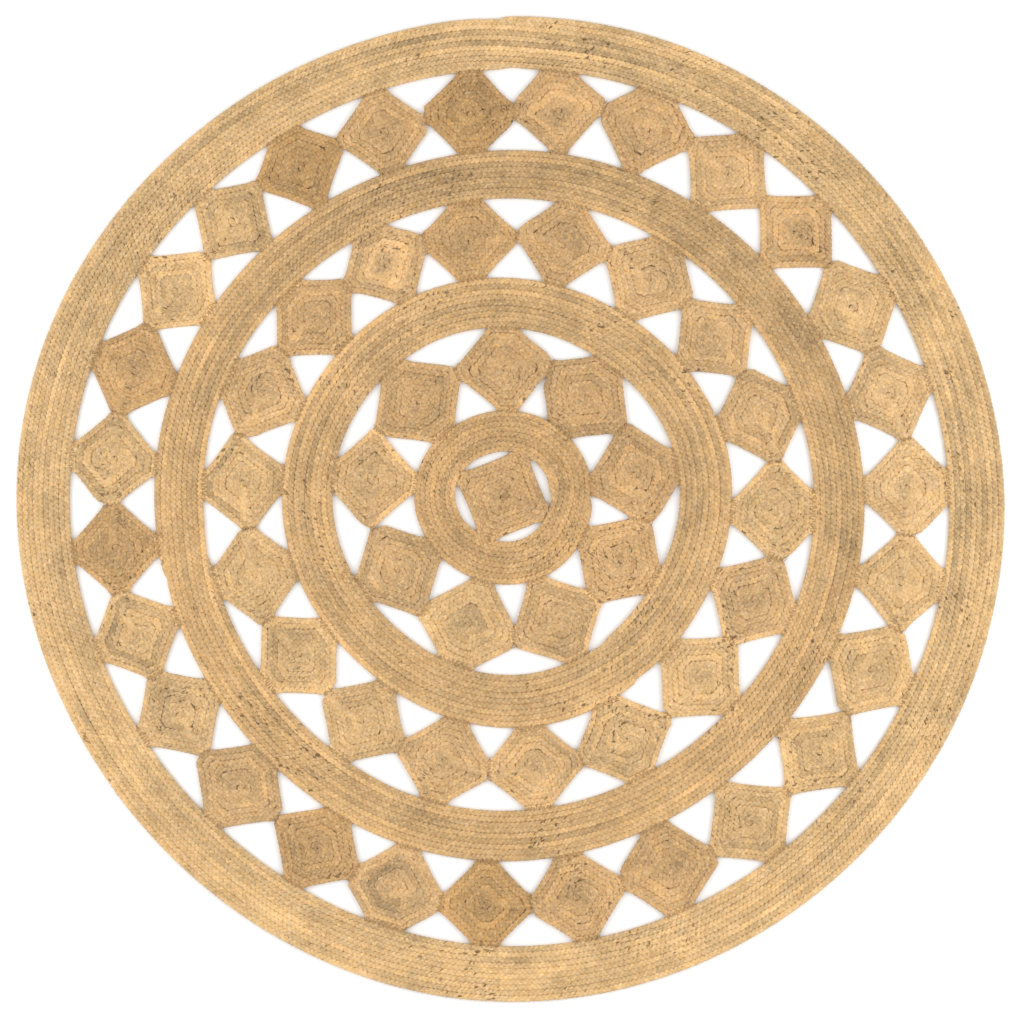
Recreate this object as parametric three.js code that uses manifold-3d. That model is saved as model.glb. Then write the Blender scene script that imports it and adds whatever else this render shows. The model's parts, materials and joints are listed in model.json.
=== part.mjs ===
// Round braided jute rug, 1.5 m across.
// Four coiled rings hold rows of coiled square panels between them, sewn corner to corner.
// Millimetres, +Z up. The underside is at z = 0 and the origin is under the rug's middle.
import * as THREE from 'three';
import { mergeVertices } from 'three/addons/utils/BufferGeometryUtils.js';
import Module from 'manifold-3d';

const wasm = await Module();
wasm.setup();

const RUG_RADIUS = 750;
const THICKNESS = 8; // a three-strand braid lying flat
const SEAM_GAP = 0.3; // left between pieces that are sewn edge to edge
const RING_SIDES = 120;

const PANEL_BOW = 2; // how far the middle of a panel's side is pulled in
const PANEL_SIDE_STEPS = 4;
const TRIM_LENGTH = 60; // a block long enough to trim any pinched corner

// Each turn was sewn on a little off the last one, so the middle of the rug lies off centre.
const MIDDLE_DRIFT = new THREE.Vector2(-14, 20);

const TONES = {
  brown: 0xbc9765,
  olive: 0xc5a06f,
  sand: 0xcca776,
  tan: 0xd1ad7c,
  straw: 0xd7b481,
  cream: 0xdfbb88,
};

// Rings from the outside in. A wave of the hand-sewn edge is [count, height, degrees of a crest].
const RINGS = [
  { name: 'outer_ring', outer: RUG_RADIUS, turns: 10, turnWidth: 8.3, tone: 'straw',
    waves: [[2, 2.3, -33], [3, 2.5, 46], [4, 2.7, -8]] },
  { name: 'second_ring', outer: 540, turns: 9, turnWidth: 8.45, tone: 'tan',
    waves: [[2, 1.2, -56], [3, 2.3, 25], [4, 2.6, -10]] },
  { name: 'third_ring', outer: 341, turns: 9, turnWidth: 8.8, tone: 'tan',
    waves: [[2, 1.7, -43], [3, 2.9, 26], [4, 3, 8]] },
  { name: 'inner_ring', outer: 134.5, turns: 8, turnWidth: 8.05, tone: 'sand',
    waves: [[2, 1.7, -9], [3, 1.4, 52]] },
];

// Rows of panels, numbered clockwise from the top. Each row hangs between two rings.
// The sewer coiled and set every panel by eye. Slides are millimetres clockwise along the row,
// outs are millimetres towards the rim, leans are degrees clockwise from a corner pointing
// straight out, and sides are the panels' widths in millimetres.
const ROWS = [
  { name: 'outer_panel', between: [0, 1], start: -4.6,
    slides: [-12, -20, -24, -24, -26, -22, -20, -12, -12, -10, 0, 8, 12, 16, 14, 12, 8, 20, 26, 24,
      18, 12, 12, 8, 4, -4, -8],
    outs: [-2, 8, 10, 4, 2, 2, 0, 4, 4, 2, 0, 4, 0, -2, 2, 6, -4, -4, -2, 2, 0, 2, 2, -2, 2, 8, 0],
    leans: [6, -10, -1, 8, -2, 4, -4, 1, -6, 10, -2, -2, 10, -4, -3, 0, 5, -7, -2, -6, 2, 0, 1, 6,
      -12, 5, 8],
    sides: [116, 116, 120, 118, 112, 122, 118, 124, 120, 126, 116, 118, 126, 122, 118, 124, 118,
      122, 118, 116, 116, 118, 118, 114, 108, 114, 114],
    tones: ['brown', 'sand', 'sand', 'tan', 'sand', 'straw', 'cream', 'cream', 'straw',
      'straw', 'straw', 'straw', 'sand', 'sand', 'brown', 'tan', 'olive', 'tan',
      'cream', 'straw', 'olive', 'straw', 'olive', 'straw', 'straw', 'brown', 'sand'] },
  { name: 'middle_panel', between: [1, 2], start: -7.2,
    slides: [-8, -4, -4, -8, -12, -6, -8, -4, 8, 10, 6, 4, 6, 8, 10, 8, 6, 2],
    outs: [2, 4, 6, 2, 4, 6, 4, -2, 0, -2, 0, 0, -2, 0, 0, 6, 4, 6],
    leans: [6, 0, 0, 0, 0, -4, 10, 0, 2, -1, 2, 0, -7, 6, -12, 0, 0, -4],
    sides: [118, 118, 122, 112, 120, 124, 122, 122, 122, 120, 120, 116, 118, 120, 116, 122, 118,
      114],
    tones: ['olive', 'sand', 'tan', 'tan', 'tan', 'straw', 'tan', 'straw', 'straw',
      'tan', 'tan', 'straw', 'straw', 'straw', 'straw', 'tan', 'sand', 'tan'] },
  { name: 'inner_panel', between: [2, 3], start: -1.8,
    slides: [6, 0, 6, 0, -4, -8, -6, 0, 0],
    outs: [4, 0, 4, 2, 2, 4, 0, 4, 0],
    leans: [-6, 0, -4, 6, -5, 2, 6, -4, 4],
    sides: [118, 124, 124, 120, 120, 126, 120, 118, 122],
    tones: ['sand', 'sand', 'sand', 'sand', 'tan', 'straw', 'tan', 'tan', 'sand'] },
];

const CENTRE_PANEL = { side: 116, lean: 23, tone: 'sand' };

const radians = THREE.MathUtils.degToRad;

/** The middle that the rug's turns lie round at one radius. */
function middleAt(radius) {
  return MIDDLE_DRIFT.clone().multiplyScalar(1 - radius / RUG_RADIUS);
}

/** A point on the hand-sewn edge of a ring, whose radius is given without its waves. */
function edgePoint(ring, radius, angle) {
  const wave = ring.waves.reduce(
    (sum, [count, height, crest]) => sum + height * Math.cos(count * (angle - radians(crest))), 0);
  const arm = new THREE.Vector2(Math.cos(angle), Math.sin(angle)).multiplyScalar(radius + wave);
  return middleAt(radius).add(arm);
}

function edgeOutline(ring, radius) {
  return Array.from({ length: RING_SIDES }, (_, i) =>
    edgePoint(ring, radius, (2 * Math.PI * i) / RING_SIDES));
}

const innerRadius = (ring) => ring.outer - ring.turns * ring.turnWidth;

/** A ring as a flat solid, made wider by grow on both edges. */
function ringGeometry(ring, grow = 0) {
  const shape = new THREE.Shape(edgeOutline(ring, ring.outer + grow));
  shape.holes.push(new THREE.Path(edgeOutline(ring, innerRadius(ring) - grow)));
  return new THREE.ExtrudeGeometry(shape, { depth: THICKNESS, bevelEnabled: false });
}

/** A whole square panel at the origin, with a corner on +Y and its sides pulled in a little. */
function panelGeometry(side) {
  const reach = side / Math.SQRT2;
  const pulled = reach / 2 - PANEL_BOW * Math.SQRT2;
  const shape = new THREE.Shape();
  shape.moveTo(0, reach);
  shape.quadraticCurveTo(-pulled, pulled, -reach, 0);
  shape.quadraticCurveTo(-pulled, -pulled, 0, -reach);
  shape.quadraticCurveTo(pulled, -pulled, reach, 0);
  shape.quadraticCurveTo(pulled, pulled, 0, reach);
  return new THREE.ExtrudeGeometry(shape, {
    depth: THICKNESS, bevelEnabled: false, curveSegments: PANEL_SIDE_STEPS });
}

function toSolid(geometry) {
  geometry.deleteAttribute('normal');
  geometry.deleteAttribute('uv');
  const merged = mergeVertices(geometry, 1e-4);
  return new wasm.Manifold(new wasm.Mesh({
    numProp: 3,
    vertProperties: merged.attributes.position.array,
    triVerts: new Uint32Array(merged.index.array),
  }));
}

function toGeometry(solid) {
  const mesh = solid.getMesh();
  const geometry = new THREE.BufferGeometry();
  geometry.setAttribute('position', new THREE.BufferAttribute(mesh.vertProperties, 3));
  geometry.setIndex(new THREE.BufferAttribute(mesh.triVerts, 1));
  return geometry;
}

/** A geometry turned clockwise by a bearing in radians, then moved to a place. */
function placed(geometry, place, bearing) {
  return geometry.rotateZ(-bearing).translate(place.x, place.y, 0);
}

/** The block past the seam between a panel and the neighbour it meets, with half the seam gap. */
function beyondSeam(place, neighbour) {
  const away = neighbour.clone().sub(place);
  const block = new THREE.BoxGeometry(TRIM_LENGTH, 2 * TRIM_LENGTH, 3 * THICKNESS);
  block.translate((away.length() - SEAM_GAP + TRIM_LENGTH) / 2, 0, 0);
  return toSolid(block.rotateZ(away.angle()).translate(place.x, place.y, 0));
}

function pieceMesh(name, geometry, tone) {
  const material = new THREE.MeshStandardMaterial({
    color: TONES[tone], roughness: 0.9, metalness: 0 });
  const mesh = new THREE.Mesh(geometry, material);
  mesh.name = name;
  return mesh;
}

/** Where each panel of a row is centred, and its clockwise bearing from the top. */
function rowPlaces(row) {
  const [outside, inside] = row.between.map((i) => RINGS[i]);
  const radius = (innerRadius(outside) + inside.outer) / 2;
  const step = (2 * Math.PI) / row.slides.length;
  return row.slides.map((slide, i) => {
    const bearing = radians(row.start) + i * step + slide / radius;
    const angle = Math.PI / 2 - bearing;
    const place = edgePoint(outside, innerRadius(outside), angle);
    place.add(edgePoint(inside, inside.outer, angle)).multiplyScalar(0.5);
    place.add(new THREE.Vector2(Math.cos(angle), Math.sin(angle)).multiplyScalar(row.outs[i]));
    return { place, bearing };
  });
}

function rowMeshes(row, ringCutters) {
  const places = rowPlaces(row);
  const count = places.length;
  return places.map(({ place, bearing }, i) => {
    const whole = placed(
      panelGeometry(row.sides[i]), place, bearing + radians(row.leans[i]));
    const neighbours = [places[(i + 1) % count], places[(i + count - 1) % count]];
    const trims = [
      ...row.between.map((ring) => ringCutters[ring]),
      ...neighbours.map((neighbour) => beyondSeam(place, neighbour.place)),
    ];
    const solid = trims.reduce((left, trim) => left.subtract(trim), toSolid(whole));
    const number = String(i + 1).padStart(2, '0');
    return pieceMesh(`${row.name}_${number}`, toGeometry(solid), row.tones[i]);
  });
}

function centrePanelMesh(ringCutters) {
  const ring = RINGS.at(-1);
  const place = middleAt(innerRadius(ring));
  const whole = placed(panelGeometry(CENTRE_PANEL.side), place, radians(CENTRE_PANEL.lean));
  const solid = toSolid(whole).subtract(ringCutters.at(-1));
  return pieceMesh('centre_panel', toGeometry(solid), CENTRE_PANEL.tone);
}

const ringCutters = RINGS.map((ring) => toSolid(ringGeometry(ring, SEAM_GAP)));
const rug = new THREE.Group();
RINGS.forEach((ring) => rug.add(pieceMesh(ring.name, ringGeometry(ring), ring.tone)));
ROWS.forEach((row) => rug.add(...rowMeshes(row, ringCutters)));
rug.add(centrePanelMesh(ringCutters));

// The waves leave the rug's box a little to one side, so the whole rug is centred on the origin.
const middle = new THREE.Box3().setFromObject(rug).getCenter(new THREE.Vector3());
rug.position.set(-middle.x, -middle.y, 0);
rug.updateMatrixWorld(true);

export default rug;
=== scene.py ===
"""A round braided jute rug, 1.5 m across.

Four coiled rings and 55 square coils, each a sewn spiral of three-strand plait, are held
together by sewing thread and by ties at the panels' pinched corners. Metres, +Z up.
"""

import json
import math

import bpy
import numpy as np
from mathutils.kdtree import KDTree
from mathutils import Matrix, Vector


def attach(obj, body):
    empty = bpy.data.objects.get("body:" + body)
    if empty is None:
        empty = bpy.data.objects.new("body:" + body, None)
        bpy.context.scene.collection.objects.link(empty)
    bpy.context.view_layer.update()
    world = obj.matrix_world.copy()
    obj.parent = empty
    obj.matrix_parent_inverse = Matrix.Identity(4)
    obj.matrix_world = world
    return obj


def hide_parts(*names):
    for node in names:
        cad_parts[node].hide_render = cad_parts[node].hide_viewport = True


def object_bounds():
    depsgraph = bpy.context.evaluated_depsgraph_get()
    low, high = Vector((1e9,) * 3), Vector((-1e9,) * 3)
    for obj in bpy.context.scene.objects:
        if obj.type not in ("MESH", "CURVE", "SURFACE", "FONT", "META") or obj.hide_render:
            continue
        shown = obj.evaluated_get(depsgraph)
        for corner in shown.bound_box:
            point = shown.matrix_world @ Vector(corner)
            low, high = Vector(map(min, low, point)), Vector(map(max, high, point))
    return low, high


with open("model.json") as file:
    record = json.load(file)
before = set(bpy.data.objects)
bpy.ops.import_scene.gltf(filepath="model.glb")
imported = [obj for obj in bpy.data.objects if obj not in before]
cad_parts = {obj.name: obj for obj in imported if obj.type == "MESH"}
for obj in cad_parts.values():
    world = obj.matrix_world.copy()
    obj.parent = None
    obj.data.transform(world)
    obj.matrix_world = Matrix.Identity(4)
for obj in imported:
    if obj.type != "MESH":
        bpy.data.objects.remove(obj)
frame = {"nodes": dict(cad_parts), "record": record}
cad_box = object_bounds()
record = frame["record"]
scene = bpy.context.scene

MM = 0.001
BODY = "root"
RING_NODES = ("outer_ring", "second_ring", "third_ring", "inner_ring")
PANEL_NODES = tuple(sorted(name for name in frame["nodes"] if "panel" in name))
THICKNESS = cad_box[1].z - cad_box[0].z

# The plait.
STRANDS = 3
PITCH = 22 * MM  # a strand goes from one side of the plait to the other and back
STEPS_PER_PITCH = 7
STRAND_SIDES = 5
SWING = 0.29  # how far a strand runs to either side, in plait widths
STRAND_HALF_WIDTH = 0.385  # in plait widths
STRAND_HALF_DEPTH = 2.1 * MM
RISE = 1.8 * MM  # how far a strand goes over and under the others
SLACK = 0.35  # how unevenly the strands are pulled, in radians of their turn
ROUND_WIDTH = 8.3 * MM  # a round of a panel's coil
EDGE_INSET = 0.62  # from a coil's edge to the middle of its outer plait, in plait widths
OFF_THE_FLOOR = 0.3 * MM  # the plait's lowest strands just clear the floor

# The rings' coils.
RINGS = {
    # turns, the angle where rows shift out in degrees, part of a turn that the shift takes,
    # pieces that the plait is made in, how much darker one side of the ring is made, and that
    # side
    "outer_ring": (10, 97, 0.035, 3, 0.4, 80),
    "second_ring": (9, 200, 0.05, 2, 0.7, 75),
    "third_ring": (9, 318, 0.07, 1, 0.2, 90),
    "inner_ring": (8, 20, 0.12, 1, 0.1, 60),
}
RING_STEP = 6 * MM  # between the points of a ring's path
RING_LOT = 0.9  # metres of plait between paler and darker lots of jute

# The panels' coils.
OUTLINE_SAMPLES = 720
PANEL_SAMPLES = 110  # points of a panel's path in each round
CORNER_SHIFT = 0.07  # the part of a turn in which a panel's plait shifts out to its next round
CORNER_STRETCH = 3.6 * MM  # how far the ties pull a panel's corner out to a ring
NEIGHBOUR_STRETCH = 0.85  # the same between two panels, as a part of that
PANEL_LOT = 0.35  # metres of plait between paler and darker lots of jute
PAINTED_EDGE_HIGHLIGHT = 0.5  # painted highlight: the last round of a coil is painted paler, as if it caught more light

# Ends, ties, stitches and loose fibres.
TUCK = 24 * MM  # the length at a coil's outer end that goes under the round next to it
THINNEST_END = 0.35  # of the plait's thickness
MEETING_GAP = 1.6 * MM  # pieces that are this near to each other are tied
TIE_SPACING = 3.8 * MM
STITCH_SPACING = 22 * MM
FIBRES_PER_METRE = 18

# The view: straight down on the middle of the rug.
LENS = 100
VIEW_WIDTH = 1.5606  # floor that the view takes in
VIEW_MIDDLE = (2.3 * MM, -4.3 * MM)


def make_camera():
    data = bpy.data.cameras.new("camera above")
    data.lens = LENS
    camera = bpy.data.objects.new("camera above", data)
    height = THICKNESS + VIEW_WIDTH * LENS / data.sensor_width
    camera.location = (*VIEW_MIDDLE, height)
    scene.collection.objects.link(camera)
    scene.camera = camera


make_camera()


# ---------------------------------------------------------------- building node trees

class Value:
    """One output of a node. Arithmetic on it adds Math nodes."""

    def __init__(self, nodes, socket):
        self.nodes = nodes
        self.socket = socket

    def also(self, name):
        """Another output of the same node."""
        return Value(self.nodes, self.socket.node.outputs[name])

    def __add__(self, other):
        return self.nodes.math("ADD", self, other)

    __radd__ = __add__

    def __sub__(self, other):
        return self.nodes.math("SUBTRACT", self, other)

    def __rsub__(self, other):
        return self.nodes.math("SUBTRACT", other, self)

    def __mul__(self, other):
        return self.nodes.math("MULTIPLY", self, other)

    __rmul__ = __mul__

    def __truediv__(self, other):
        return self.nodes.math("DIVIDE", self, other)


class Nodes:
    """Adds nodes to one tree."""

    def __init__(self, tree):
        self.tree = tree

    def add(self, kind, settings=None, inputs=None, output=0):
        """A node of any kind, with its settings, and its inputs as numbers or Values."""
        node = self.tree.nodes.new(kind)
        for name, setting in (settings or {}).items():
            setattr(node, name, setting)
        for name, value in (inputs or {}).items():
            self.feed(node.inputs[name], value)
        return Value(self, node.outputs[output])

    def feed(self, socket, value):
        if isinstance(value, Value):
            self.tree.links.new(value.socket, socket)
        else:
            socket.default_value = value

    def math(self, operation, first, second=0.0):
        return self.add("ShaderNodeMath", {"operation": operation}, {0: first, 1: second})

    def vector(self, operation, first, second=(0, 0, 0)):
        return self.add("ShaderNodeVectorMath", {"operation": operation}, {0: first, 1: second})

    def scaled(self, vector, scale):
        inputs = {0: vector, "Scale": scale}
        return self.add("ShaderNodeVectorMath", {"operation": "SCALE"}, inputs)

    def joined(self, x=0.0, y=0.0, z=0.0):
        return self.add("ShaderNodeCombineXYZ", None, {0: x, 1: y, 2: z})

    def noise(self, vector, scale, detail=2.0, roughness=0.5):
        """Noise about zero, roughly from -1 to 1."""
        inputs = {"Vector": vector, "Scale": scale, "Detail": detail, "Roughness": roughness}
        return (self.add("ShaderNodeTexNoise", None, inputs) - 0.5) * 4

    def above(self, value, low, high):
        """0 below low, 1 above high and smooth between them."""
        settings = {"interpolation_type": "SMOOTHSTEP"}
        return self.add("ShaderNodeMapRange", settings, {0: value, 1: low, 2: high})

    def mixed(self, factor, first, second, blend="MIX"):
        settings = {"data_type": "RGBA", "blend_type": blend}
        return self.add("ShaderNodeMix", settings, {0: factor, 6: first, 7: second}, 2)


# ---------------------------------------------------------------- geometry trees

SOCKETS = {
    "number": "NodeSocketFloat",
    "count": "NodeSocketInt",
    "material": "NodeSocketMaterial",
    "geometry": "NodeSocketGeometry",
}


def geometry_tree(name, inputs):
    """A new geometry tree. Returns its Nodes and its inputs as Values."""
    tree = bpy.data.node_groups.new(name, "GeometryNodeTree")
    tree.interface.new_socket("Geometry", in_out="OUTPUT", socket_type=SOCKETS["geometry"])
    for label, kind in {"Geometry": "geometry", **inputs}.items():
        tree.interface.new_socket(label, in_out="INPUT", socket_type=SOCKETS[kind])
    nodes = Nodes(tree)
    source = tree.nodes.new("NodeGroupInput")
    return nodes, {s.name: Value(nodes, s) for s in source.outputs if s.name}


def finish_tree(nodes, geometry, material):
    """Ends a geometry tree in smooth, real geometry with its material."""
    smooth = nodes.add("GeometryNodeSetShadeSmooth", None, {"Geometry": geometry})
    real = nodes.add("GeometryNodeRealizeInstances", None, {"Geometry": smooth})
    inputs = {"Geometry": real, "Material": material}
    finished = nodes.add("GeometryNodeSetMaterial", None, inputs)
    output = nodes.tree.nodes.new("NodeGroupOutput")
    nodes.feed(output.inputs[0], finished)


def attribute(nodes, name, kind="FLOAT"):
    return nodes.add("GeometryNodeInputNamedAttribute", {"data_type": kind}, {"Name": name})


def stored(nodes, geometry, name, value, kind="FLOAT"):
    settings = {"data_type": kind, "domain": "POINT"}
    inputs = {"Geometry": geometry, "Name": name, "Value": value}
    return nodes.add("GeometryNodeStoreNamedAttribute", settings, inputs)


def plait_tree():
    """Three strands that weave along a path.

    The path's points hold along (distance in metres), gauge (the plait's width), girth (how
    thick its strands are, 1 as a rule), tone and taper (1, or less where an end is tucked in).
    """
    nodes, given = geometry_tree("three-strand plait", {
        "Pitch": "number", "Step": "number", "Swing": "number", "Rise": "number",
        "Half Width": "number", "Half Depth": "number", "Sides": "count",
        "Slack": "number", "Seed": "number", "Material": "material",
    })
    curve = nodes.add("GeometryNodeMeshToCurve", None, {"Mesh": given["Geometry"]})
    curve = nodes.add("GeometryNodeResampleCurve", {"mode": "LENGTH"},
                      {"Curve": curve, "Length": given["Step"]})
    strands = nodes.add("GeometryNodeDuplicateElements", {"domain": "SPLINE"},
                        {"Geometry": curve, "Amount": STRANDS})
    strand = strands.also("Duplicate Index")
    along = attribute(nodes, "along")
    gauge = attribute(nodes, "gauge")
    taper = attribute(nodes, "taper")
    girth = attribute(nodes, "girth")

    # Each strand has its own slow, random changes of pace, size and height.
    own = nodes.joined(along, strand * 3.7 + given["Seed"], 0.5)
    pace = nodes.noise(own, 45.0) * given["Slack"]
    size = nodes.noise(nodes.vector("ADD", own, (0, 0, 11.3)), 90.0)
    drift = nodes.noise(nodes.vector("ADD", own, (0, 0, 29.1)), 60.0)

    turn = along * 2 * math.pi / given["Pitch"] + strand * (2 * math.pi / STRANDS) + pace
    tangent = nodes.add("GeometryNodeInputTangent")
    aside = nodes.vector("NORMALIZE", nodes.vector("CROSS_PRODUCT", tangent, (0, 0, 1)))
    swing = nodes.math("SINE", turn) * given["Swing"] * gauge * taper
    rise = nodes.math("SINE", turn * 2) * given["Rise"] * taper + drift * (0.25 * MM)
    offset = nodes.vector("ADD", nodes.scaled(aside, swing), nodes.joined(z=rise))
    woven = nodes.add("GeometryNodeSetPosition", None, {"Geometry": strands, "Offset": offset})
    woven = stored(nodes, woven, "lengthwise", along + strand * 5.3)
    woven = nodes.add("GeometryNodeSetCurveNormal", {"mode": "Z_UP"}, {"Curve": woven})

    circle = nodes.add("GeometryNodeCurvePrimitiveCircle", {"mode": "RADIUS"},
                       {"Resolution": given["Sides"], "Radius": 1.0})
    position = nodes.add("GeometryNodeInputPosition")
    circle = stored(nodes, circle, "crosswise", position, "FLOAT_VECTOR")
    flat = nodes.joined(given["Half Width"], given["Half Depth"], 1.0)
    profile = nodes.add("GeometryNodeTransform", None, {"Geometry": circle, "Scale": flat})
    mesh = nodes.add("GeometryNodeCurveToMesh", None, {
        "Curve": woven, "Profile Curve": profile, "Fill Caps": True,
        "Scale": (size * 0.10 + 1) * girth * taper})
    finish_tree(nodes, mesh, given["Material"])
    return nodes.tree


def thread_tree():
    """Round thread along every path of a mesh. The points hold size, 1 at full thickness."""
    nodes, given = geometry_tree("thread", {
        "Radius": "number", "Sides": "count", "Material": "material"})
    curve = nodes.add("GeometryNodeMeshToCurve", None, {"Mesh": given["Geometry"]})
    circle = nodes.add("GeometryNodeCurvePrimitiveCircle", {"mode": "RADIUS"},
                       {"Resolution": given["Sides"], "Radius": given["Radius"]})
    mesh = nodes.add("GeometryNodeCurveToMesh", None, {
        "Curve": curve, "Profile Curve": circle, "Fill Caps": True,
        "Scale": attribute(nodes, "size")})
    finish_tree(nodes, mesh, given["Material"])
    return nodes.tree


def source_mesh(name, points, edges, attributes):
    """A mesh of bare points or edges that holds the attributes a geometry tree reads."""
    mesh = bpy.data.meshes.new(name)
    mesh.from_pydata(points, edges, [])
    for label, values in attributes.items():
        values = np.asarray(values, dtype=np.float32)
        kind = "FLOAT" if values.ndim == 1 else "FLOAT_VECTOR"
        made = mesh.attributes.new(label, kind, "POINT")
        made.data.foreach_set("value" if kind == "FLOAT" else "vector", values.ravel())
    return mesh


def grown(name, source, tree, values):
    """The object, with a plain mesh, that a geometry tree makes from a source mesh."""
    holder = bpy.data.objects.new(name + "_source", source)
    scene.collection.objects.link(holder)
    modifier = holder.modifiers.new("grow", "NODES")
    modifier.node_group = tree
    for item in tree.interface.items_tree:
        if item.in_out == "INPUT" and item.name in values:
            modifier[item.identifier] = values[item.name]
    graph = bpy.context.evaluated_depsgraph_get()
    mesh = bpy.data.meshes.new_from_object(
        holder.evaluated_get(graph), preserve_all_data_layers=True, depsgraph=graph)
    mesh.name = name
    bpy.data.objects.remove(holder)
    bpy.data.meshes.remove(source)
    piece = bpy.data.objects.new(name, mesh)
    scene.collection.objects.link(piece)
    return piece


# ---------------------------------------------------------------- materials

def material_nodes(name):
    """A new material's Nodes and its Principled shader."""
    material = bpy.data.materials.new(name)
    material.use_nodes = True
    nodes = Nodes(material.node_tree)
    shader = material.node_tree.nodes["Principled BSDF"]
    return material, nodes, shader


def shifted(colour, red, green, blue):
    return (colour[0] * red, colour[1] * green, colour[2] * blue, 1.0)


def jute_material(name, colour):
    """Plaited jute: fibres along each strand, paler and darker lengths, knots and flecks, and
    painted glints.
    """
    material, nodes, shader = material_nodes(name)
    lengthwise = nodes.add("ShaderNodeAttribute", {"attribute_name": "lengthwise"}).also("Fac")
    crosswise = nodes.add("ShaderNodeAttribute", {"attribute_name": "crosswise"}).also("Vector")
    tone = nodes.add("ShaderNodeAttribute", {"attribute_name": "tone"}).also("Fac")
    place = nodes.add("ShaderNodeTexCoord").also("Object")
    across = nodes.scaled(crosswise, 2.2 * MM)

    def strand_noise(length, width, seed, detail=2.0):
        """Noise drawn out along the strand: flecks of about this length and width."""
        stretched = nodes.scaled(across, 1 / width)
        start = nodes.joined(lengthwise / length + seed, seed * 0.7, seed * 1.3)
        return nodes.noise(nodes.vector("ADD", start, stretched), 1.0, detail)

    lot = nodes.noise(place, 9.0, 2.0, 0.75)
    length_shade = strand_noise(26 * MM, 30 * MM, 3.1)
    fleck = strand_noise(5 * MM, 1.7 * MM, 7.7)
    fibre = strand_noise(7 * MM, 0.55 * MM, 13.9)
    # tone holds the lots of jute, the painted highlight on a coil's last round and a ring's
    # darker side
    shade = lot * 0.20 + tone * 0.13 + length_shade * 0.23 + fleck * 0.21 + fibre * 0.10 + 1.035

    golden = shifted(colour, 1.02, 0.97, 0.87)
    greyed = shifted(colour, 0.97, 1.0, 1.10)
    hue = nodes.above(strand_noise(16 * MM, 4 * MM, 21.3) - tone * 0.12, -0.8, 0.8)
    straw = nodes.mixed(hue, golden, greyed)

    rust = nodes.above(strand_noise(7 * MM, 2.5 * MM, 33.3), 0.5, 0.9) * 0.5
    straw = nodes.mixed(rust, straw, (0.52, 0.27, 0.09, 1))
    knotty = nodes.above(nodes.noise(place, 8.0, 1.0), -0.1, 0.5)
    knots = nodes.above(strand_noise(7 * MM, 4.5 * MM, 41.7, 1.0), 0.58, 0.74) * knotty * 0.9
    straw = nodes.mixed(knots, straw, (0.14, 0.08, 0.035, 1))

    grey_shade = nodes.add("ShaderNodeCombineColor", None, {0: shade, 1: shade, 2: shade})
    straw = nodes.mixed(1.0, straw, grey_shade, "MULTIPLY")
    # painted highlight: sparse pale golden glints on the strands
    painted_glint = nodes.above(strand_noise(5 * MM, 1.7 * MM, 27.9), 0.4, 0.8) * 0.5
    straw = nodes.mixed(painted_glint, straw, (0.86, 0.62, 0.31, 1))

    nodes.feed(shader.inputs["Base Color"], straw)
    nodes.feed(shader.inputs["Roughness"], fibre * 0.05 + 0.8)
    shader.inputs["Specular IOR Level"].default_value = 0.25
    shader.inputs["Sheen Weight"].default_value = 0.15
    shader.inputs["Sheen Roughness"].default_value = 0.5
    relief = nodes.add("ShaderNodeBump", None, {
        "Strength": 0.6, "Distance": 0.4 * MM, "Height": fibre + fleck * 0.5})
    nodes.feed(shader.inputs["Normal"], relief)
    return material


def plain_fibre_material(name, colour, patches):
    """Yarn or thread of one colour, with paler and darker patches and a fine twist."""
    material, nodes, shader = material_nodes(name)
    place = nodes.add("ShaderNodeTexCoord").also("Object")
    wear = nodes.noise(place, patches)
    shade = wear * 0.25 + 1
    grey_shade = nodes.add("ShaderNodeCombineColor", None, {0: shade, 1: shade, 2: shade})
    dyed = nodes.mixed(1.0, colour, grey_shade, "MULTIPLY")
    nodes.feed(shader.inputs["Base Color"], dyed)
    nodes.feed(shader.inputs["Roughness"], wear * 0.05 + 0.75)
    relief = nodes.add("ShaderNodeBump", None, {
        "Strength": 0.4, "Distance": 0.1 * MM, "Height": nodes.noise(place, 1800.0)})
    nodes.feed(shader.inputs["Normal"], relief)
    return material


def floor_material():
    """A plain white floor."""
    material, _, shader = material_nodes("white floor")
    shader.inputs["Base Color"].default_value = (0.97, 0.97, 0.97, 1)
    shader.inputs["Roughness"].default_value = 0.9
    shader.inputs["Specular IOR Level"].default_value = 0.0
    return material


# ---------------------------------------------------------------- outlines from the frame

def top_points(node):
    """The corners of a CAD node's top face, as rows of x, y."""
    mesh = frame["nodes"][node].data
    points = np.empty(len(mesh.vertices) * 3, np.float32)
    mesh.vertices.foreach_get("co", points)
    points = points.reshape(-1, 3)
    top = points[:, 2] > THICKNESS / 2
    return np.unique(points[top, :2].round(6), axis=0)


def round_order(points, middle):
    """Points sorted by their angle round a middle, and those angles."""
    arms = points - middle
    angles = np.arctan2(arms[:, 1], arms[:, 0]) % (2 * np.pi)
    order = np.argsort(angles)
    return points[order], angles[order]


def ring_edges(node):
    """A ring's inner and outer edge, each as a function from angles to points."""
    points = top_points(node)
    middle = points.mean(axis=0)
    reach = np.hypot(*(points - middle).T)
    between = (reach.min() + reach.max()) / 2

    def edge(chosen):
        ring = points[chosen]
        centre = (ring.min(axis=0) + ring.max(axis=0)) / 2
        ring, angles = round_order(ring, centre)
        radii = np.hypot(*(ring - centre).T)

        def at(angle):
            radius = np.interp(angle, angles, radii, period=2 * np.pi)
            return centre + radius[:, None] * np.stack([np.cos(angle), np.sin(angle)], 1)

        return at

    return edge(reach < between), edge(reach > between)


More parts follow.
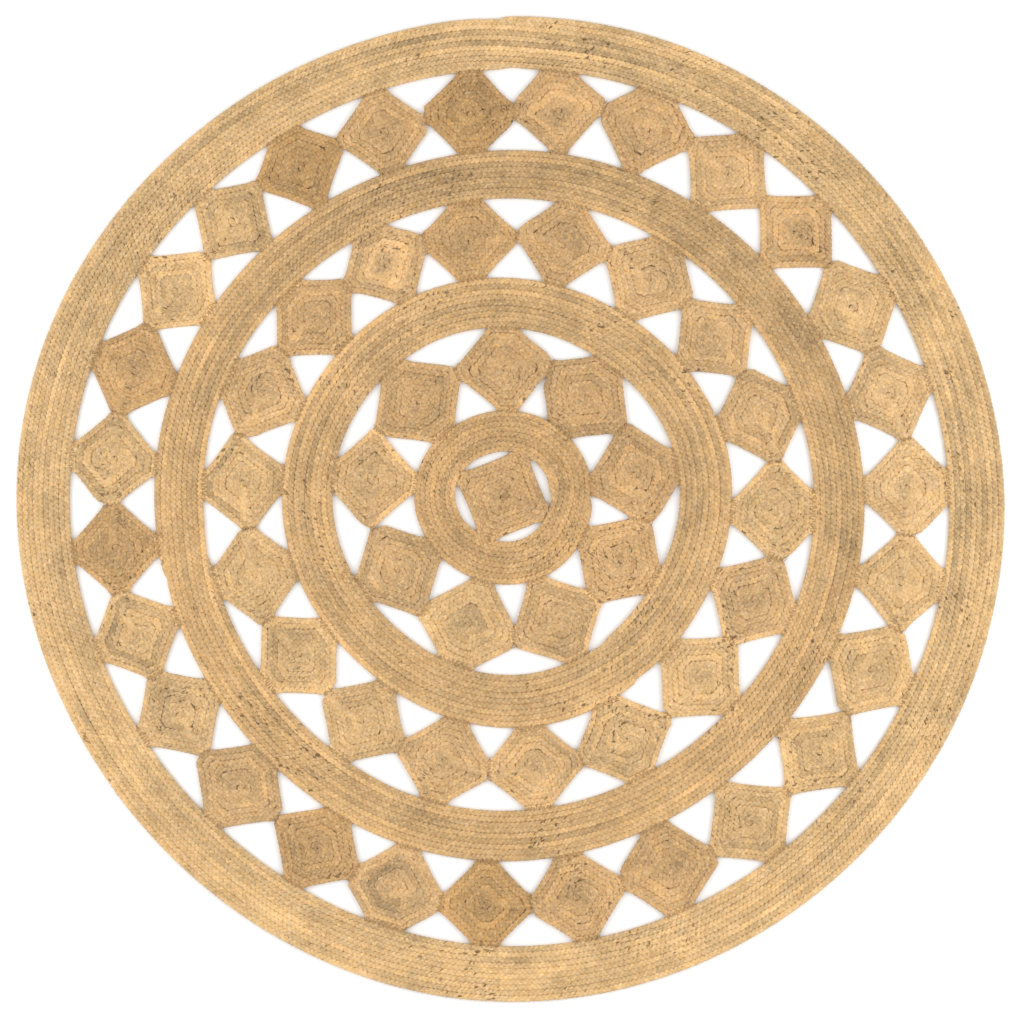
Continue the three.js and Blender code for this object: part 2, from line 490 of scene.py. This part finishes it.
def panel_outline(node):
    """A panel's middle and its outline as radii at OUTLINE_SAMPLES even angles."""
    points = top_points(node)
    middle = (points.min(axis=0) + points.max(axis=0)) / 2
    points, _ = round_order(points, middle)
    ends = np.roll(points, -1, axis=0)
    steps = np.linspace(0, 1, 40, endpoint=False)[:, None, None]
    fine = (points + (ends - points) * steps).reshape(-1, 2)
    fine, angles = round_order(fine, middle)
    even = np.arange(OUTLINE_SAMPLES) * 2 * np.pi / OUTLINE_SAMPLES
    radii = np.interp(even, angles, np.hypot(*(fine - middle).T), period=2 * np.pi)
    return middle, radii


def softened(radii, degrees):
    """An outline's radii with its corners rounded off by a blur of so many degrees."""
    waves = np.fft.rfft(radii)
    turns = np.arange(len(waves))
    return np.fft.irfft(waves * np.exp(-((turns * np.radians(degrees)) ** 2) / 2), len(radii))


def smoothstep(value, low, high):
    part = np.clip((value - low) / (high - low), 0, 1)
    return part * part * (3 - 2 * part)


def outline_points(middle, radii):
    even = np.arange(OUTLINE_SAMPLES) * 2 * np.pi / OUTLINE_SAMPLES
    return middle + radii[:, None] * np.stack([np.cos(even), np.sin(even)], 1)


def find_meetings():
    """Which of a panel's outline samples meet another piece, by pairs of panel and piece."""
    named = [(node, outline_points(*panel_outline(node))) for node in PANEL_NODES]
    around = np.linspace(0, 2 * np.pi, 4000, endpoint=False)
    for node in RING_NODES:
        named += [(node, edge(around)) for edge in ring_edges(node)]
    tree = KDTree(sum(len(points) for _, points in named))
    owners = []
    for node, points in named:
        for x, y in points:
            tree.insert((x, y, 0), len(owners))
            owners.append(node)
    tree.balance()
    found = {}
    for node, points in named[:len(PANEL_NODES)]:
        for sample, (x, y) in enumerate(points):
            for _, index, _ in tree.find_range((x, y, 0), MEETING_GAP):
                if owners[index] != node:
                    found.setdefault((node, owners[index]), set()).add(sample)
    return {pair: sorted(samples) for pair, samples in sorted(found.items())}


meetings = find_meetings()


# ---------------------------------------------------------------- coils

def lift_at(points):
    """How far the rug stands off the floor at each place: it doesn't lie quite flat."""
    x, y = points[:, 0], points[:, 1]
    wave = np.sin(5.1 * x + 2.0 * y + 0.7) + np.sin(3.3 * y - 4.2 * x + 2.1)
    return (wave + 2) * 0.25 * MM


def slow_noise(rng, along, spacing):
    """Smooth random values along a length, about zero, one every spacing."""
    count = int(along[-1] / spacing) + 4
    knots = rng.normal(0, 1, count)
    return np.interp(along, np.arange(count) * spacing, knots)


def rows_at(turns, spiral_until, jog):
    """Which row of a coil each point lies in, as a number that rises one each turn.

    Up to spiral_until turns it rises steadily. After that a row keeps its distance from the
    edge all the way round, and shifts out to the next in the last part, jog, of each turn.
    """
    whole = np.floor(turns)
    part = turns - whole
    stepped = smoothstep(part, 1 - jog, 1)
    rounded = smoothstep(turns, spiral_until, spiral_until + 1.5)
    return whole + part + (stepped - part) * rounded + 0.5


def coil_path(rng, points, gauge, spacing_of_lots, row, rounds):
    """What there is to know along a path of points that a plait follows, from the inside out."""
    steps = np.hypot(*np.diff(points, axis=0).T)
    heading = np.gradient(points, axis=0)
    heading /= np.hypot(*heading.T)[:, None]
    outward = np.column_stack([heading[:, 1], -heading[:, 0]])
    middle = (points.min(axis=0) + points.max(axis=0)) / 2
    outward *= np.sign(np.sum(outward * (points - middle), axis=1))[:, None]
    along = np.concatenate([[0], np.cumsum(steps)])
    to_end = along[-1] - along
    taper = smoothstep(along, -14 * MM, 6 * MM) * smoothstep(to_end, -4 * MM, 14 * MM)
    tucked = 1 - smoothstep(to_end, 0, TUCK)
    points = points - outward * (0.5 * gauge * tucked)[:, None]
    girth = (gauge / ROUND_WIDTH) ** 0.7
    tone = slow_noise(rng, along, spacing_of_lots) * 0.6 + slow_noise(rng, along, 0.11) * 0.5
    # painted highlight: the last round of a coil is painted paler
    tone += smoothstep(row, rounds - 1.4, rounds - 0.6) * PAINTED_EDGE_HIGHLIGHT
    height = THICKNESS / 2 + OFF_THE_FLOOR + lift_at(points)
    height += slow_noise(rng, along, 0.05) * 0.12 * MM
    height += (girth - 1) * 3 * MM - tucked * 1.2 * MM
    return {
        "points": np.column_stack([points, height]),
        "heading": heading,
        "outward": outward,
        "inner": row < rounds - 1,
        "along": along,
        "gauge": gauge,
        "girth": girth,
        "taper": np.maximum(taper, THINNEST_END),
        "tone": tone,
    }


def plait_piece(name, path, part, material, seed):
    """The plait along one part, a slice, of a coil's path."""
    points = path["points"][part]
    edges = np.column_stack([np.arange(len(points) - 1), np.arange(1, len(points))])
    labels = ("along", "gauge", "girth", "taper", "tone")
    source = source_mesh(name, points, edges, {label: path[label][part] for label in labels})
    return grown(name, source, PLAIT, {
        "Pitch": PITCH, "Step": PITCH / STEPS_PER_PITCH, "Swing": SWING, "Rise": RISE,
        "Half Width": STRAND_HALF_WIDTH * ROUND_WIDTH,
        "Half Depth": STRAND_HALF_DEPTH, "Sides": STRAND_SIDES, "Slack": SLACK,
        "Seed": seed, "Material": material,
    })


def ring_path(node):
    """The path of a ring's plait, from the inside out."""
    turns, jog_degrees, jog, _, darker, dark_side = RINGS[node]
    rng = np.random.default_rng(RING_NODES.index(node) + 1)
    inner, outer = ring_edges(node)
    width_across = np.hypot(*(outer(np.zeros(1)) - inner(np.full(1, np.pi))).T)[0]
    way_round = 2 * np.pi * width_across / 2
    turned = np.linspace(-jog * 0.6, turns - jog * 0.4, int(way_round * turns / RING_STEP))
    angle = turned * 2 * np.pi + np.radians(jog_degrees)
    row = rows_at(turned, -2, jog)
    near, far = inner(angle), outer(angle)
    wobble = slow_noise(rng, turned - turned[0], 0.04) * 0.035
    row = np.clip(row + wobble, 0.45, turns - 0.45)
    row += 0.4 * (1 - smoothstep((turned - turned[0]) * way_round, 0, 30 * MM))  # tucked start
    share = (EDGE_INSET + (row - 0.5) * (turns - 2 * EDGE_INSET) / (turns - 1)) / turns
    points = near + (far - near) * share[:, None]
    gauge = np.hypot(*(far - near).T) / turns
    path = coil_path(rng, points, gauge, RING_LOT, row, turns)
    # the plait is made darker towards one side of the ring
    path["tone"] -= darker * np.cos(angle - np.radians(dark_side))
    return path


def panel_shape(outline, pulled, rounds):
    """The function from angles and row numbers to a panel coil's radii.

    The outer rounds keep their distance from the outline. The inner ones are a smaller, rounder
    copy of it. The outline is pulled out a little where it is tied to its neighbours.
    """
    inradius = outline.min()
    width = inradius / (rounds + EDGE_INSET - 0.5)
    even = np.arange(OUTLINE_SAMPLES) * 2 * np.pi / OUTLINE_SAMPLES
    sharp = softened(outline, 1.0) + CORNER_STRETCH * softened(pulled, 2.5)
    blunt = softened(outline, 8) / inradius
    slope = np.gradient(softened(outline, 2.5), even[1])
    lean = np.clip(outline / np.hypot(outline, slope), 0.75, 1)

    def radius(angle, row):
        share = row * width / inradius
        square = smoothstep(share, -0.25, 0.5)
        shape = np.interp(angle, even, blunt, period=2 * np.pi)
        copied = inradius * share * (1 + (shape - 1) * square)
        edge = np.interp(angle, even, sharp, period=2 * np.pi)
        margin = (rounds - row + EDGE_INSET - 0.5) * width
        margin = margin / np.interp(angle, even, lean, period=2 * np.pi)
        return copied + (edge - margin - copied) * smoothstep(share, 0.2, 0.95)

    return radius


def panel_path(node):
    """The path of a panel's plait: round in the middle, and square at the edge."""
    rng = np.random.default_rng(100 + PANEL_NODES.index(node))
    middle, outline = panel_outline(node)
    rounds = round(outline.min() / ROUND_WIDTH)
    pulled = np.zeros(OUTLINE_SAMPLES)
    for (panel, other), samples in meetings.items():
        if panel == node:
            pulled[samples] = 1.0 if other in RING_NODES else NEIGHBOUR_STRETCH
    radius = panel_shape(outline, pulled, rounds)
    corner = np.argmax(softened(outline, 6)) * 2 * np.pi / OUTLINE_SAMPLES
    way = rng.choice((-1, 1))
    turned = np.linspace(-0.45, rounds - 0.02, rounds * PANEL_SAMPLES)
    angle = corner + way * (turned + CORNER_SHIFT / 2) * 2 * np.pi
    row = rows_at(np.maximum(turned, 0), 0.8, CORNER_SHIFT) + np.minimum(turned, 0)
    row = row + slow_noise(rng, turned - turned[0], 0.12) * 0.05
    row = np.clip(row, 0.02, rounds - 0.47)
    reach = radius(angle, row)
    arm = np.stack([np.cos(angle), np.sin(angle)], 1)
    slope = (radius(angle + 0.07, row) - radius(angle - 0.07, row)) / 0.14
    lean = reach / np.hypot(reach, slope)
    gauge = (radius(angle, row + 0.5) - radius(angle, row - 0.5)) * lean
    points = middle + reach[:, None] * arm
    gauge = np.clip(gauge * 1.05, 0.9 * ROUND_WIDTH, 1.7 * ROUND_WIDTH)
    path = coil_path(rng, points, gauge, PANEL_LOT, row, rounds)
    path["tone"] -= path["tone"].mean()
    return path


# ---------------------------------------------------------------- making the pieces

def finish_piece(piece, slot, *nodes):
    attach(piece, BODY)
    if nodes:
        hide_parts(*nodes)


slots = {part["node"]: part["material_slot"] for part in record["subparts"]}
JUTE_COLOURS = {m["slot"]: m["base_color"] for m in record["materials"]}
EVENED = {"cream_jute": 0.93, "straw_jute": 0.98}  # the palest plaits are a little less pale
jute = {}
for slot, colour in JUTE_COLOURS.items():
    evened = EVENED.get(slot, 1)
    jute[slot] = jute_material(slot, shifted(colour, evened, evened, evened))
PLAIT = plait_tree()
paths = []  # of all coils, for the stitches and the loose fibres


def make_coil(node, path, parts, seed):
    """A node's plait, made in so many parts."""
    ends = np.linspace(0, len(path["points"]) - 1, parts + 1).astype(int)
    for number, (first, last) in enumerate(zip(ends, ends[1:]), 1):
        name = f"{node}_plait_{number}" if parts > 1 else f"{node}_plait"
        piece = plait_piece(name, path, slice(first, last + 1), jute[slots[node]], seed)
        finish_piece(piece, slots[node], node)
    paths.append(path)


for number, ring in enumerate(RING_NODES):
    make_coil(ring, ring_path(ring), RINGS[ring][3], 10.0 * number)
for number, panel in enumerate(PANEL_NODES):
    make_coil(panel, panel_path(panel), 1, 100.0 + 3.0 * number)


# ---------------------------------------------------------------- ties, stitches, loose fibres

THREAD = thread_tree()


def bowed_threads(name, middles, headings, reaches, bows, radius, steps, sides, material):
    """Threads that bow up (or aside) between their ends, one at each middle.

    The rows of bows say how far the middle of each thread stands off, in metres.
    """
    part = np.linspace(-1, 1, steps + 1)
    runs = part[None, :, None] * (headings * reaches[:, None])[:, None, :]
    arches = (1 - part ** 2)[None, :, None] * bows[:, None, :]
    points = (middles[:, None, :] + runs + arches).reshape(-1, 3)
    size = np.tile(1 - 0.6 * part ** 4, len(middles))
    numbers = np.arange(len(points)).reshape(-1, steps + 1)
    edges = np.stack([numbers[:, :-1], numbers[:, 1:]], axis=-1).reshape(-1, 2)
    source = source_mesh(name, points, edges, {"size": size})
    return grown(name, source, THREAD, {"Radius": radius, "Sides": sides, "Material": material})


def turned_by(vectors, angles):
    """Level vectors turned by angles in radians, with a level z."""
    cos, sin = np.cos(angles), np.sin(angles)
    x, y = vectors[:, 0], vectors[:, 1]
    return np.column_stack([x * cos - y * sin, x * sin + y * cos, np.zeros(len(x))])


def upward(heights):
    return np.column_stack([np.zeros_like(heights), np.zeros_like(heights), heights])


def at_height(points, height):
    return np.column_stack([points[:, :2], lift_at(points[:, :2]) + height])


def make_ties():
    """Turns of jute yarn that tie the corners together wherever two pieces meet."""
    rng = np.random.default_rng(7)
    middles, headings = [], []
    for (panel, other), samples in meetings.items():
        if other in PANEL_NODES and other < panel:
            continue  # this pair is tied already
        points = outline_points(*panel_outline(panel))[samples]
        middle = points.mean(axis=0)
        along = np.linalg.svd(points - middle)[2][0]
        half = np.abs((points - middle) @ along).max()
        count = max(3, round(2 * half / TIE_SPACING))
        spread = np.linspace(-1, 1, count) * max(half - 1 * MM, 2 * MM)
        for shift in spread + rng.normal(0, 0.4 * MM, count):
            middles.append(middle + along * shift)
            headings.append((-along[1], along[0]))
    middles = at_height(np.array(middles), THICKNESS - 2.4 * MM)
    count = len(middles)
    headings = turned_by(np.array(headings), rng.normal(0, 0.4, count))
    reaches = rng.uniform(3.2, 6.4, count) * MM
    bows = upward(rng.uniform(2.2, 3.0, count) * MM)
    ties = bowed_threads("corner_ties", middles, headings, reaches, bows, 0.7 * MM, 6, 5, yarn)
    finish_piece(ties, "brown_jute")


def make_stitches():
    """The thread that sews each round to the next, seen as short slanting stitches."""
    rng = np.random.default_rng(8)
    middles, headings = [], []
    for path in paths:
        spots = np.arange(10 * MM, path["along"][-1], STITCH_SPACING)
        spots = spots + rng.uniform(-0.25, 0.25, len(spots)) * STITCH_SPACING
        index = np.searchsorted(path["along"], spots)
        index = index[index < len(path["along"])]
        index = index[path["inner"][index]]
        aside = path["outward"][index] * path["gauge"][index, None] / 2
        middles.append(path["points"][index, :2] + aside)
        slant = np.where(np.arange(len(index)) % 2, 0.7, -0.7)
        headings.append(turned_by(path["outward"][index], slant))
    middles = at_height(np.concatenate(middles), THICKNESS - 2.1 * MM)
    headings = np.concatenate(headings)
    count = len(middles)
    reaches = rng.uniform(2.2, 3.4, count) * MM
    bows = upward(rng.uniform(0.5, 1.0, count) * MM)
    stitches = bowed_threads(
        "sewing_stitches", middles, headings, reaches, bows, 0.38 * MM, 2, 3, thread)
    finish_piece(stitches, "sand_jute")


def make_loose_fibres():
    """Fibres that have worked loose: they lie over the plaits and stand out at the edges."""
    rng = np.random.default_rng(9)
    middles, headings = [], []
    for path in paths:
        count = int(path["along"][-1] * FIBRES_PER_METRE)
        index = rng.integers(0, len(path["along"]), count)
        sideways = path["gauge"][index] * rng.uniform(-0.6, 0.6, count)
        aside = path["outward"][index] * sideways[:, None]
        middles.append(path["points"][index, :2] + aside)
        headings.append(turned_by(path["heading"][index], rng.normal(0, 0.8, count)))
    middles = np.concatenate(middles)
    headings = np.concatenate(headings)
    count = len(middles)
    headings[:, 2] = rng.normal(0, 0.05, count)
    middles = at_height(middles, THICKNESS) + upward(rng.uniform(-0.8, 0.1, count) * MM)
    reaches = rng.uniform(3, 10, count) * MM
    aside = turned_by(headings, np.full(count, np.pi / 2))
    bows = aside * (rng.normal(0, 0.25, count) * reaches)[:, None]
    bows += upward(rng.uniform(-0.4, 1.2, count) * MM)
    fibres = bowed_threads(
        "loose_fibres", middles, headings, reaches, bows, 0.1 * MM, 4, 3, fibre)
    finish_piece(fibres, "straw_jute")


yarn = plain_fibre_material("tying yarn", (0.46, 0.29, 0.13, 1), 260.0)
thread = plain_fibre_material("sewing thread", (0.50, 0.34, 0.17, 1), 300.0)
fibre = plain_fibre_material("loose fibre", (0.74, 0.54, 0.29, 1), 120.0)
make_ties()
make_stitches()
make_loose_fibres()


# ---------------------------------------------------------------- floor and light

def make_floor():
    size = 20.0
    corners = [(-size, -size, 0), (size, -size, 0), (size, size, 0), (-size, size, 0)]
    mesh = bpy.data.meshes.new("floor")
    mesh.from_pydata(corners, [], [(0, 1, 2, 3)])
    mesh.materials.append(floor_material())
    floor = bpy.data.objects.new("floor", mesh)
    scene.collection.objects.link(floor)


LIGHT_DISTANCE = 2.7


def make_light(name, azimuth, elevation, power, size):
    """A square soft light that faces the rug's middle."""
    data = bpy.data.lights.new(name, "AREA")
    data.energy = power
    data.size = size
    light = bpy.data.objects.new(name, data)
    turn, tilt = math.radians(azimuth), math.radians(90 - elevation)
    light.rotation_euler = (tilt, 0, turn + math.pi / 2)
    light.location = (
        LIGHT_DISTANCE * math.sin(tilt) * math.cos(turn),
        LIGHT_DISTANCE * math.sin(tilt) * math.sin(turn),
        LIGHT_DISTANCE * math.cos(tilt),
    )
    scene.collection.objects.link(light)


def make_surroundings():
    world = bpy.data.worlds.new("white room")
    world.use_nodes = True
    background = world.node_tree.nodes["Background"]
    background.inputs["Color"].default_value = (1, 1, 1, 1)
    background.inputs["Strength"].default_value = 0.84
    scene.world = world
    make_light("right softbox", 0, 40, 24, 1.8)
    make_light("left softbox", 180, 40, 22, 1.8)
    scene.view_settings.view_transform = "Standard"


make_floor()
make_surroundings()
